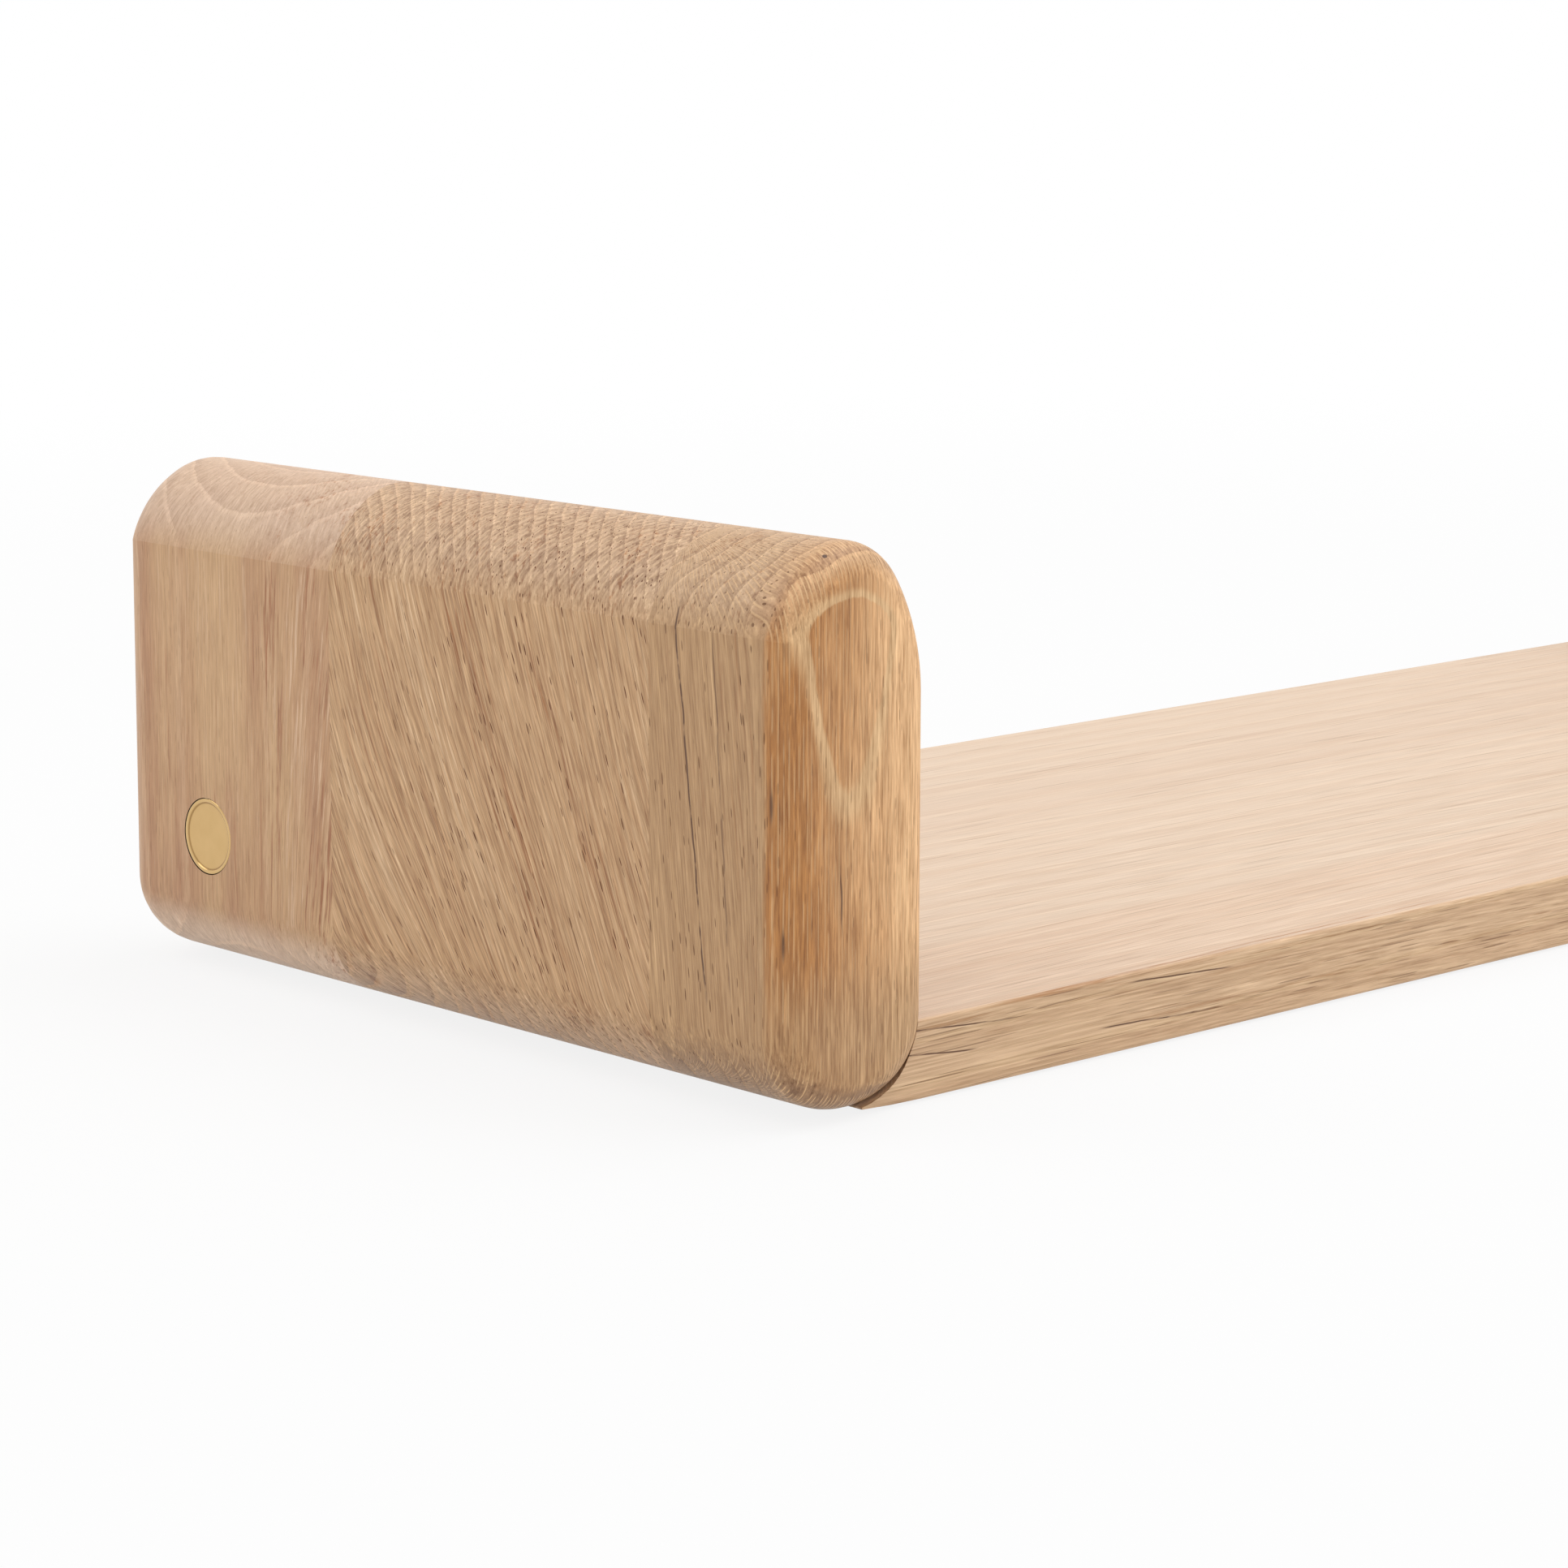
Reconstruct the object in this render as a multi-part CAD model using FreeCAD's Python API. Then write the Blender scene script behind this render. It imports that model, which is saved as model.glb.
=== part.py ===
import FreeCAD, Part
import os
from math import acos, atan2, cos, pi, radians, sin, sqrt

V = FreeCAD.Vector

# Oak wall shelf: two rounded end panels glued up from upright staves, and a board
# glued up from lengthwise staves whose ends are scribed over the panels' lower rounding.
# Frame: X runs along the shelf, Y from the front (low) to the wall (high), Z up.
# The origin is the middle of the footprint on the board's underside. Millimetres.

# Driving dimensions of the shelf
overall_length = 600.0
depth = 222.0
panel_thickness = 40.0
panel_height = 111.5
board_thickness = 16.2

# End panels
panel_lift = 1.2             # the panels' lowest line above the board's underside
outer_top_rise = 17.4        # height over which the top's outer side is rounded
outer_crease_angle = 15.5    # in degrees, by which that rounding breaks from the flat side
inner_top_rise = 31.0        # height over which the top's inner side is rounded
bottom_rise = 17.5           # height over which the bottom is rounded
top_crown_radius = 15.3      # the upper of the two arcs on each side of the top
bottom_crown_radius = 24.0   # the lower of the two arcs on each side of the bottom
front_arris_radius = 7.0
rear_arris_radius = 14.0
arris_strip_count = 6        # narrow strips that make up each rounded arris
front_stave_width = 39.0
rear_stave_width = 81.0

# Board
board_setback = 3.0          # the board's front edge behind the panels' front
board_stave_count = 5
scribe_gap = 0.3             # joint between the board's coped end and the panel
tip_reach = 16.5             # how far the coped end runs on below the panel
ease_start = 8.0             # where the underside starts to rise, inboard of the panel
ease_rise = 0.8              # how much the underside has risen at the tip
board_arris_radius = 0.8

# Fluted dowels, at the middle of every other board stave
dowel_diameter = 8.0
dowel_length = 30.0
dowel_panel_reach = 19.0     # from the panel's inner face to the dowel's far end
dowel_flute_count = 6
dowel_flute_depth = 0.45
dowel_flute_share = 0.45     # share of the round that the flutes take
dowel_clearance = 0.15
dowel_end_room = 0.5

# Turned brass disc let into the left panel's outer face
disc_diameter = 17.0
disc_thickness = 1.6
disc_rim_width = 0.75
disc_floor_drop = 0.4
disc_clearance = 0.1
disc_rear_inset = 36.0       # disc centre in front of the panels' rear face
disc_height = 30.5           # disc centre above the panels' lowest line

# Keyhole hanger plates let into the panels' rear faces
hanger_width = 14.0
hanger_height = 54.0
hanger_thickness = 2.0
hanger_side_gap = 0.3
hanger_centre_height = 58.0  # plate centre above the panels' lowest line
entry_diameter = 9.5
slot_width = 5.0
slot_rise = 13.0             # from the entry's centre up to the slot's end centre
entry_drop = 7.0             # the entry's centre below the plate's centre
pocket_width = 11.5
pocket_depth = 9.0           # behind the plate
pocket_margin = 6.0          # pocket wood cleared past the entry and the slot's end

# Countersunk screws that hold the plates
screw_head_diameter = 6.6
screw_shank_diameter = 3.2
screw_length = 18.0
screw_end_inset = 7.0        # screw axis from the plate's end
screw_clearance = 0.12
screw_sink = 0.1             # head below the plate's face

# One overrun for every cut, and the tolerance that picks edges by place
overrun = 4.0
pick_tolerance = 0.01

# Places worked out from the sizes above
y_front = -depth / 2
y_rear = depth / 2
panel_foot = panel_lift
panel_top = panel_foot + panel_height
panel_centre_x = overall_length / 2 - panel_thickness / 2
board_front_y = y_front + board_setback
board_width = y_rear - board_front_y
board_stave_width = board_width / board_stave_count
SIDES = {"left": -1, "right": 1}


def save(node, shape):
    """Write one node; a piece comes out as its own solid or group of solids."""
    shape.exportStep("parts/" + node + ".step")


def box_between(low, high):
    size = high.sub(low)
    return Part.makeBox(size.x, size.y, size.z, low)


def rounded_quarter(centre, out, up, crown, crease, grow):
    """Two arcs that turn from the direction out to the direction up, like a quarter of an oval.

    The crown arc has its centre on the axis. The side arc starts at the flat side, turned
    by the crease from it, and its radius is the one that lets the two arcs meet with one
    shared normal. grow moves both arcs outwards about their own centres, and the start
    then lies where the side arc crosses the flat side moved by as much.
    Gives the start point and the two edges.
    """
    reach = out.Length
    lift = up.Length - crown
    along = V(out).normalize()
    across = V(up).normalize()
    side = (reach ** 2 + lift ** 2 - crown ** 2) / (2 * (reach * cos(crease) - lift * sin(crease) - crown))
    offset = reach - side * cos(crease)
    drop = side * sin(crease)
    sign = 1 if side > crown else -1
    turn = atan2(sign * (lift + drop), -sign * offset)
    start = acos(min(1.0, (reach + grow - offset) / (side + grow)))

    def point(shift, height, radius, angle):
        return centre + along * (shift + radius * cos(angle)) + across * (height + radius * sin(angle))

    side_points = [point(offset, -drop, side + grow, angle) for angle in (start, (start + turn) / 2, turn)]
    crown_points = [point(0, lift, crown + grow, angle) for angle in (turn, (turn + pi / 2) / 2, pi / 2)]
    return side_points[0], [Part.Arc(*side_points).toShape(), Part.Arc(*crown_points).toShape()]


def panel_section(y, grow):
    """Outline of an end panel across Y: straight sides with rounded top and bottom.

    The outer side is at low X. grow moves the whole outline outwards, or inwards where
    it is negative.
    """
    half = panel_thickness / 2
    foot = V(0, y, panel_foot + bottom_rise)
    edges = []
    for sign, rise, crease in ((-1, outer_top_rise, radians(outer_crease_angle)), (1, inner_top_rise, 0)):
        out = V(sign * half, 0, 0)
        head = V(0, y, panel_top - rise)
        top_start, top_edges = rounded_quarter(head, out, V(0, 0, rise), top_crown_radius, crease, grow)
        low_start, low_edges = rounded_quarter(foot, out, V(0, 0, -bottom_rise), bottom_crown_radius, 0, grow)
        edges += top_edges + low_edges + [Part.LineSegment(low_start, top_start).toShape()]
    return Part.Wire(Part.__sortEdges__(edges))


def arris_sections(y_face, inwards, radius):
    """Sections that round an arris, from the face into the panel along the sign inwards."""
    sections = []
    for strip in range(arris_strip_count + 1):
        turn = pi / 2 * strip / arris_strip_count
        y = y_face + inwards * radius * (1 - cos(turn))
        sections.append(panel_section(y, radius * (sin(turn) - 1)))
    return sections


def panel_blank():
    """The whole end panel about X = 0, with its front and rear arrises rounded over."""
    front = arris_sections(y_front, 1, front_arris_radius)
    rear = arris_sections(y_rear, -1, rear_arris_radius)
    return Part.makeLoft(front + rear[::-1], True, True).removeSplitter()


def dowel_axis_height():
    """Dowels lie at half the board's thickness."""
    return board_thickness / 2


def dowel_centres():
    """Middle of each dowel of one end, for the end at low X."""
    x = -overall_length / 2 + panel_thickness - dowel_panel_reach + dowel_length / 2
    first = board_front_y + board_stave_width / 2
    places = range(0, board_stave_count, 2)
    return [V(x, first + board_stave_width * place, dowel_axis_height()) for place in places]


def dowel_bores():
    """Blind bores for one end's dowels, which run through the joint."""
    radius = dowel_diameter / 2 + dowel_clearance
    length = dowel_length + 2 * dowel_end_room
    start = V(-length / 2, 0, 0)
    return Part.makeCompound([Part.makeCylinder(radius, length, centre.add(start), V(1, 0, 0))
                              for centre in dowel_centres()])


def dowel():
    """One fluted beech dowel along X about the origin, with a crest and a valley for each flute."""
    radius = dowel_diameter / 2
    pitch = 2 * pi / dowel_flute_count
    crest = pitch * (1 - dowel_flute_share) / 2
    points = []
    for turn in range(dowel_flute_count):
        middle = turn * pitch
        for angle, size in ((middle - crest, radius), (middle + crest, radius),
                            (middle + pitch / 2, radius - dowel_flute_depth)):
            points.append(V(-dowel_length / 2, size * cos(angle), size * sin(angle)))
    return Part.Face(Part.makePolygon(points + points[:1])).extrude(V(dowel_length, 0, 0))


def at_side(shape, side):
    """A shape made for the end at low X, moved to its own end by mirroring."""
    if SIDES[side] < 0:
        return shape
    return shape.mirror(V(0, 0, 0), V(1, 0, 0))


def upright_slot(width, length, centre, thickness):
    """Round-ended slot in an XZ plane, standing upright, running from its centre towards the wall."""
    radius = width / 2
    straight = V(0, 0, (length - width) / 2)
    side = V(radius, 0, 0)
    end = V(0, 0, radius)
    top = centre + straight
    foot = centre - straight
    edges = [Part.LineSegment(foot + side, top + side).toShape(),
             Part.Arc(top + side, top + end, top - side).toShape(),
             Part.LineSegment(top - side, foot - side).toShape(),
             Part.Arc(foot - side, foot - end, foot + side).toShape()]
    return Part.Face(Part.Wire(edges)).extrude(V(0, thickness, 0))


def hanger_centre():
    return V(-panel_centre_x, y_rear - hanger_thickness, panel_foot + hanger_centre_height)


def entry_centre():
    return hanger_centre().add(V(0, 0, -entry_drop))


def screw_places():
    reach = hanger_height / 2 - screw_end_inset
    return [hanger_centre().add(V(0, 0, end * reach)) for end in (-1, 1)]


def screw(place, grow):
    """Countersunk screw driven in from the wall side; grow makes the cutter for its hole."""
    head = screw_head_diameter / 2 + grow
    shank = screw_shank_diameter / 2 + grow
    top = hanger_thickness - screw_sink
    neck = top - (head - shank)
    end = hanger_thickness - screw_length - grow
    outline = [V(0, top, 0), V(head, top, 0), V(shank, neck, 0), V(shank, end, 0), V(0, end, 0)]
    face = Part.Face(Part.makePolygon(outline + outline[:1]))
    body = face.revolve(V(0, 0, 0), V(0, 1, 0), 360)
    body.translate(place)
    return body


def screw_hole(place):
    """Room for a screw, open at the plate's face."""
    mouth = Part.makeCylinder(screw_head_diameter / 2 + screw_clearance, overrun,
                              place.add(V(0, hanger_thickness - screw_sink, 0)), V(0, 1, 0))
    return screw(place, screw_clearance).fuse(mouth)


def hanger_box(gap, rise):
    """The plate's oblong, larger by a gap all round and running on past the wall side by a rise."""
    corner = V(hanger_width / 2 + gap, 0, hanger_height / 2 + gap)
    return box_between(hanger_centre() - corner, hanger_centre() + corner + V(0, hanger_thickness + rise, 0))


def hanger_plate():
    """Steel plate with a keyhole: a round entry that narrows upwards into a slot."""
    plate = hanger_box(0, 0)
    start = entry_centre().add(V(0, -overrun, 0))
    through = hanger_thickness + 2 * overrun
    entry = Part.makeCylinder(entry_diameter / 2, through, start, V(0, 1, 0))
    slot = upright_slot(slot_width, slot_rise + slot_width, start.add(V(0, 0, slot_rise / 2)), through)
    return plate.cut([entry, slot] + [screw_hole(place) for place in screw_places()])


def hanger_recess():
    """What the plate, its screws and the wall screw's head need cut out of the rear stave."""
    seat = hanger_box(hanger_side_gap, overrun)
    across = pocket_width / 2
    low = entry_centre().add(V(-across, -pocket_depth, -pocket_margin))
    high = entry_centre().add(V(across, overrun, slot_rise + pocket_margin))
    return [seat, box_between(low, high)] + [screw_hole(place) for place in screw_places()]


def disc_centre():
    return V(-overall_length / 2, y_rear - disc_rear_inset, panel_foot + disc_height)


def brass_disc():
    """Turned disc with a narrow raised rim round a sunk floor, its face flush with the oak."""
    radius = disc_diameter / 2
    inner = radius - disc_rim_width
    outline = [V(disc_thickness, 0, 0), V(disc_thickness, 0, radius), V(0, 0, radius), V(0, 0, inner),
               V(disc_floor_drop, 0, inner - disc_floor_drop), V(disc_floor_drop, 0, 0)]
    face = Part.Face(Part.makePolygon(outline + outline[:1]))
    disc = face.revolve(V(0, 0, 0), V(1, 0, 0), 360)
    disc.translate(disc_centre())
    return disc


def disc_recess():
    start = disc_centre().add(V(-overrun, 0, 0))
    return Part.makeCylinder(disc_diameter / 2 + disc_clearance, disc_thickness + overrun, start, V(1, 0, 0))


def panel_staves(side):
    """The three upright staves of one end panel, cut for dowels, hanger and disc."""
    blank = panel_blank()
    blank.translate(V(-panel_centre_x, 0, 0))
    seams = {"front": (y_front - overrun, y_front + front_stave_width),
             "middle": (y_front + front_stave_width, y_rear - rear_stave_width),
             "rear": (y_rear - rear_stave_width, y_rear + overrun)}
    reach_x = panel_thickness / 2 + overrun
    cuts = [dowel_bores()] + hanger_recess()
    if side == "left":
        cuts.append(disc_recess())
    staves = {}
    for place, (near, far) in seams.items():
        slab = box_between(V(-panel_centre_x - reach_x, near, -overrun),
                           V(-panel_centre_x + reach_x, far, panel_top + overrun))
        staves[place] = at_side(blank.common(slab).cut(cuts), side)
    return staves


def board_side_face():
    """The board seen along Y: flat, with its underside easing up to a thin tip at each end."""
    half = overall_length / 2 - panel_thickness
    tip_x = half + tip_reach
    flat_x = half - ease_start
    run = tip_x - flat_x
    ease_radius = (run ** 2 + ease_rise ** 2) / (2 * ease_rise)
    middle_x = flat_x + run / 2
    middle_z = ease_radius - sqrt(ease_radius ** 2 - (run / 2) ** 2)
    y = board_front_y
    low = {end: V(end * flat_x, y, 0) for end in (-1, 1)}
    eased = {end: V(end * middle_x, y, middle_z) for end in (-1, 1)}
    tip = {end: V(end * tip_x, y, ease_rise) for end in (-1, 1)}
    top = {end: V(end * tip_x, y, board_thickness) for end in (-1, 1)}
    edges = [
        Part.LineSegment(low[-1], low[1]).toShape(),
        Part.Arc(low[1], eased[1], tip[1]).toShape(),
        Part.LineSegment(tip[1], top[1]).toShape(),
        Part.LineSegment(top[1], top[-1]).toShape(),
        Part.LineSegment(top[-1], tip[-1]).toShape(),
        Part.Arc(tip[-1], eased[-1], low[-1]).toShape(),
    ]
    return Part.Face(Part.Wire(edges))


def board_cross_section():
    """The board seen along X: a rectangle with its four long arrises just eased."""
    reach = overall_length / 2
    bar = box_between(V(-reach, board_front_y, 0), V(reach, y_rear, board_thickness))
    long_edges = [edge for edge in bar.Edges if edge.BoundBox.XLength > overall_length - pick_tolerance]
    return bar.makeFillet(board_arris_radius, long_edges)


def board_staves():
    """Lengthwise staves, their ends scribed to the panels' section and bored for dowels."""
    board = board_side_face().extrude(V(0, board_width, 0)).common(board_cross_section())
    scribes = []
    bores = []
    for side in SIDES:
        panel = Part.Face(panel_section(y_front, scribe_gap)).extrude(V(0, depth, 0))
        panel.translate(V(-panel_centre_x, 0, 0))
        scribes.append(at_side(panel, side))
        bores.append(at_side(dowel_bores(), side))
    board = board.cut(scribes).cut(bores)
    reach = overall_length / 2
    staves = []
    for place in range(board_stave_count):
        near = board_front_y + board_stave_width * place
        slab = box_between(V(-reach, near, -overrun), V(reach, near + board_stave_width, board_thickness + overrun))
        staves.append(board.common(slab))
    return staves


def main():
    os.makedirs("parts", exist_ok=True)
    for side in SIDES:
        for place, stave in panel_staves(side).items():
            save(side + "_" + place + "_stave", stave)
        pegs = []
        for centre in dowel_centres():
            peg = dowel()
            peg.translate(centre)
            pegs.append(at_side(peg, side))
        save(side + "_dowels", Part.makeCompound(pegs))
    for number, stave in enumerate(board_staves(), start=1):
        save("board_stave_" + str(number), stave)
    save("brass_disc", brass_disc())
    save("hanger_plates", Part.makeCompound([at_side(hanger_plate(), side) for side in SIDES]))
    screws = [at_side(screw(place, 0), side) for side in SIDES for place in screw_places()]
    save("hanger_screws", Part.makeCompound(screws))


main()
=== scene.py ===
from math import acos, atan2, cos, pi, radians, sin

import bmesh
import bpy
from mathutils import Matrix, Vector


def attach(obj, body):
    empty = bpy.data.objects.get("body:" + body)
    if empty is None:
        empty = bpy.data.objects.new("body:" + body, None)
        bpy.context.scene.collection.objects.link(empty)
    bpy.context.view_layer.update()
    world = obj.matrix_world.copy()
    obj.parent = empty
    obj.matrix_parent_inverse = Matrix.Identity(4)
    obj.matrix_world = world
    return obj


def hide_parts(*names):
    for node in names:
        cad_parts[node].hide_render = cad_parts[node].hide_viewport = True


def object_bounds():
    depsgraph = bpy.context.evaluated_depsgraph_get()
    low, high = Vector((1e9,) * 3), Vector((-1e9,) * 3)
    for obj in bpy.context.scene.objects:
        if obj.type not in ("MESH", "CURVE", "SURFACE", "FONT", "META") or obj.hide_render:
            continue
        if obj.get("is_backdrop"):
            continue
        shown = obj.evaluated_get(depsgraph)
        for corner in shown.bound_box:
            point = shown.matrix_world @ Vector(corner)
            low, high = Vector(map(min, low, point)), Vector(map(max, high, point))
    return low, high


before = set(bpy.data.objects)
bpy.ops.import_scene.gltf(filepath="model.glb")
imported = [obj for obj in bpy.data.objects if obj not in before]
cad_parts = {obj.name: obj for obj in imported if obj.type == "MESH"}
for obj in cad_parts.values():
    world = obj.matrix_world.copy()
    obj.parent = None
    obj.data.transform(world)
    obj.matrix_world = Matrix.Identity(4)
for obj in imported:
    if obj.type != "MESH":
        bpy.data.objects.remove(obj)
cad_low, cad_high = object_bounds()


# ---- The end panels' staves ----
# Each end panel is three upright oak staves glued edge to edge, then milled to a
# rounded oblong with a soft crease on its outer side, its front and rear arrises
# rounded over, and sanded. Every stave keeps the ring figure of its own tree.

def paint(red, green, blue):
    """A colour as it looks on a screen, from 0 to 255, as the linear values that sockets take."""
    def linear(value):
        value /= 255
        return value / 12.92 if value <= 0.04045 else ((value + 0.055) / 1.055) ** 2.4
    return (linear(red), linear(green), linear(blue), 1)


class Tree:
    """Adds nodes to one tree and joins or sets their sockets."""

    def __init__(self, tree):
        self.tree = tree

    def add(self, kind, sockets=None, out=0, **settings):
        node = self.tree.nodes.new(kind)
        for name, value in settings.items():
            setattr(node, name, value)
        for name, value in (sockets or {}).items():
            if isinstance(value, bpy.types.NodeSocket):
                self.tree.links.new(value, node.inputs[name])
            else:
                node.inputs[name].default_value = value
        return node.outputs[out]

    def math(self, operation, *values):
        return self.add("ShaderNodeMath", dict(enumerate(values)), operation=operation)

    def vector(self, operation, *values, out=0):
        return self.add("ShaderNodeVectorMath", dict(enumerate(values)), out=out, operation=operation)

    def xyz(self, x=0.0, y=0.0, z=0.0):
        return self.add("ShaderNodeCombineXYZ", {0: x, 1: y, 2: z})

    def split(self, vector):
        return self.add("ShaderNodeSeparateXYZ", {0: vector}).node.outputs[:3]

    def rise(self, value, low, high, start=0.0, end=1.0):
        """Turns smoothly from start at low to end at high."""
        return self.add("ShaderNodeMapRange", {0: value, 1: low, 2: high, 3: start, 4: end},
                        interpolation_type="SMOOTHSTEP")

    def noise(self, place, sizes, detail=2.0, roughness=0.5, out=0):
        """Soft noise whose blots have the given sizes along X, Y and Z."""
        scaled = self.vector("DIVIDE", place, sizes)
        return self.add("ShaderNodeTexNoise", {"Vector": scaled, "Scale": 1.0, "Detail": detail,
                                               "Roughness": roughness}, out=out)

    def blend(self, share, a, b):
        return self.add("ShaderNodeMix", {0: share, 6: a, 7: b}, out=2, data_type="RGBA")


def open_group(kind, name, inputs, outputs):
    """A node group with named sockets; gives the tree and its inputs by name."""
    group = bpy.data.node_groups.new(name, kind)
    for socket, (socket_type, value) in inputs.items():
        made = group.interface.new_socket(socket, in_out="INPUT", socket_type=socket_type)
        if value is not None:
            made.default_value = value
    for socket, socket_type in outputs.items():
        group.interface.new_socket(socket, in_out="OUTPUT", socket_type=socket_type)
    given = {socket.name: socket for socket in group.nodes.new("NodeGroupInput").outputs}
    return Tree(group), given


def close_group(t, values):
    """Joins a group's results to its output sockets, and gives the finished tree."""
    out = t.tree.nodes.new("NodeGroupOutput")
    for name, value in values.items():
        t.tree.links.new(value, out.inputs[name])
    return t.tree


def solid_oak():
    """Oak through and through, in millimetres: rings round a pith, vessels, rays and fibres.

    Place is a point seen from the stave's pith, with X and Y across the grain and Z along it.
    """
    number, tint = "NodeSocketFloat", "NodeSocketColor"
    t, given = open_group("ShaderNodeTree", "solid_oak", {
        "Place": ("NodeSocketVector", None), "Seed": (number, 0.0),
        "Ring width": (number, 7.0), "Ring start": (number, 50.2), "Ring band": (number, 0.15),
        "Ragged": (number, 0.1), "Bend": (number, 0.0), "End rings": (number, 0.6),
        "Wander": (number, 2.0), "Ripple": (number, 1.2), "End grain": (number, 0.0),
        "Distance": (number, 50.0), "Ray gap": (number, 1.2), "Ray length": (number, 13.0),
        "Base": (tint, paint(190, 149, 110)), "Pale": (tint, paint(216, 180, 140)),
        "Dark": (tint, paint(158, 110, 68)), "Vessel": (tint, paint(88, 50, 24)),
        "Rings": (number, 0.5), "Vessels": (number, 0.6), "Rays": (number, 0.5),
        "Streaks": (number, 1.0), "Hairs": (number, 1.0), "Lines": (number, 0.3),
        "Vessel length": (number, 6.5), "Heart share": (number, 0.0), "Heart": (tint, paint(190, 138, 88)),
        "End": (tint, paint(190, 154, 120)),
    }, {"Colour": tint, "Roughness": number, "Height": number})
    seed = t.vector("SCALE", (17.0, 31.0, 11.0))
    t.tree.links.new(given["Seed"], seed.node.inputs["Scale"])
    given_place = t.vector("ADD", given["Place"], seed)

    # The grain wanders a little, in long bends and in short ripples.
    bends = t.vector("SUBTRACT", t.noise(given_place, (26.0, 26.0, 140.0), out=1), (0.5, 0.5, 0.5))
    ripples = t.vector("SUBTRACT", t.noise(given_place, (5.0, 5.0, 22.0), out=1), (0.5, 0.5, 0.5))
    wander = t.xyz(given["Wander"], given["Wander"], 0.0)
    ripple = t.xyz(given["Ripple"], given["Ripple"], 0.0)
    drift = t.vector("ADD", t.vector("MULTIPLY", bends, wander), t.vector("MULTIPLY", ripples, ripple))
    place = t.vector("ADD", given["Place"], drift)
    grain = t.vector("ADD", given_place, drift)
    x, y, z = t.split(place)
    radius = t.vector("LENGTH", t.xyz(x, y), out=1)

    # Years start with a narrow pale band of wide vessels and end darker.
    ragged = t.math("MULTIPLY", t.math("SUBTRACT", t.noise(grain, (0.8, 0.8, 14.0)), 0.5), given["Ragged"])
    ring = t.math("ADD", radius, given["Bend"])
    years = t.math("DIVIDE", t.math("SUBTRACT", ring, given["Ring start"]), given["Ring width"])
    year = t.math("FRACT", t.math("ADD", years, t.math("ADD", 20.0, ragged)))
    end_grain = given["End grain"]
    early = t.math("MULTIPLY", t.rise(year, 0.0, 0.03), t.rise(
        year, t.math("MULTIPLY", given["Ring band"], 0.6), t.math("MULTIPLY", given["Ring band"], 1.6), 1.0, 0.0))
    late = t.rise(year, 0.45, 1.0)

    # Vessels: narrow dark channels along the grain, most of them in the early wood.
    long_cells = t.xyz(0.85, 0.85, given["Vessel length"])
    cells = t.add("ShaderNodeTexVoronoi", {"Vector": t.vector("DIVIDE", grain, long_cells), "Scale": 1.0}).node
    chance = t.split(cells.outputs["Color"])[0]
    open_one = t.math("LESS_THAN", chance, t.math("ADD", 0.42, t.math("MULTIPLY", early, 0.5)))
    slit = t.math("MULTIPLY", open_one, t.rise(cells.outputs["Distance"], 0.16, 0.22, 1.0, 0.0))
    lines = t.noise(grain, (0.42, 0.42, 34.0), detail=1.0)
    line = t.math("ADD", t.math("MULTIPLY", t.rise(lines, 0.6, 0.68), t.math("MULTIPLY", early, 0.6)),
                  t.math("MULTIPLY", t.rise(lines, 0.66, 0.71), given["Lines"]))

    # Rays: thin pale sheets that run out from the pith.
    arc = t.math("MULTIPLY", t.math("ARCTAN2", y, x), given["Distance"])
    turn = t.math("DIVIDE", arc, given["Ray gap"])
    across = t.math("ABSOLUTE", t.math("SUBTRACT", t.math("FRACT", turn), 0.5))
    sheet = t.xyz(t.math("MULTIPLY", t.math("FLOOR", turn), 3.7), t.math("DIVIDE", radius, 3.2),
                  t.math("DIVIDE", z, given["Ray length"]))
    patch = t.noise(sheet, (1.0, 1.0, 1.0), detail=1.0)
    patch = t.math("ADD", patch, t.math("MULTIPLY", end_grain, t.rise(year, 0.7, 0.95, 0.12, -0.2)))
    ray = t.math("MULTIPLY", t.rise(across, 0.06, 0.19, 1.0, 0.0), t.rise(patch, 0.42, 0.56))

    # Fibres: hair-fine, middling and broad streaks along the grain, and a fringe
    # of short strokes across the rings where the grain comes out at the surface.
    hair = t.math("SUBTRACT", t.noise(grain, (0.52, 0.52, 11.0), detail=3.0, roughness=0.7), 0.5)
    fringe = t.math("SUBTRACT", t.noise(t.xyz(arc, radius, z), (0.6, 2.6, 16.0), detail=3.0, roughness=0.65), 0.5)
    streak = t.math("SUBTRACT", t.noise(grain, (1.05, 1.05, 27.0), detail=4.0, roughness=0.7), 0.5)
    broad = t.math("SUBTRACT", t.noise(grain, (11.0, 11.0, 130.0), detail=2.0), 0.5)

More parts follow.
